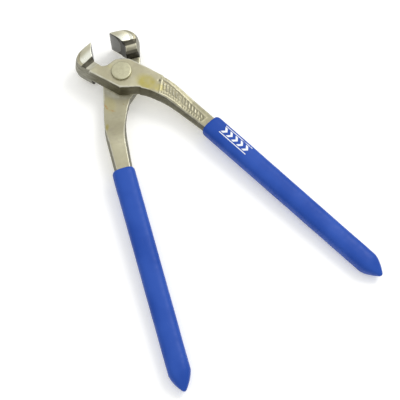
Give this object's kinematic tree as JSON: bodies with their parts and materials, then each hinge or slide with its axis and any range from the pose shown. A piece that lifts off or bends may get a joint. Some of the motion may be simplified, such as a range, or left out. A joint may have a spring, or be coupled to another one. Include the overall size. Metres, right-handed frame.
{
  "type": "end cutting nippers",
  "caption": "Hand tool with crossed forged levers on a solid rivet, wide claw-shaped cutting jaws and long handles in dipped grips.",
  "frame": {"origin": "on the pivot axis, at the flat end of the rivet's tail, which is the lowest point of the tool", "axes": "+X along the centreline from the pivot towards the jaws, +Z along the pivot axis towards the rivet's head, +Y towards the rear lever's handle"},
  "size_m": [0.2394, 0.1536, 0.0235],
  "materials": {
    "forged_steel": "satin forged steel with a khaki oil tint",
    "rivet_steel": "turned satin steel",
    "dipped_grip": "satin blue dipped vinyl"
  },
  "bodies": {
    "rear": {"rear_lever": "forged_steel", "rivet": "rivet_steel", "rear_grip": "dipped_grip"},
    "front": {"front_lever": "forged_steel", "front_grip": "dipped_grip"}
  },
  "joints": [
    {"name": "lever_pivot", "type": "hinge", "parent": "rear", "child": "front", "pos_m": [0, 0, 0.0114], "axis": [0, 0, 1], "range_deg": [-25.6, 24.4]}
  ]
}
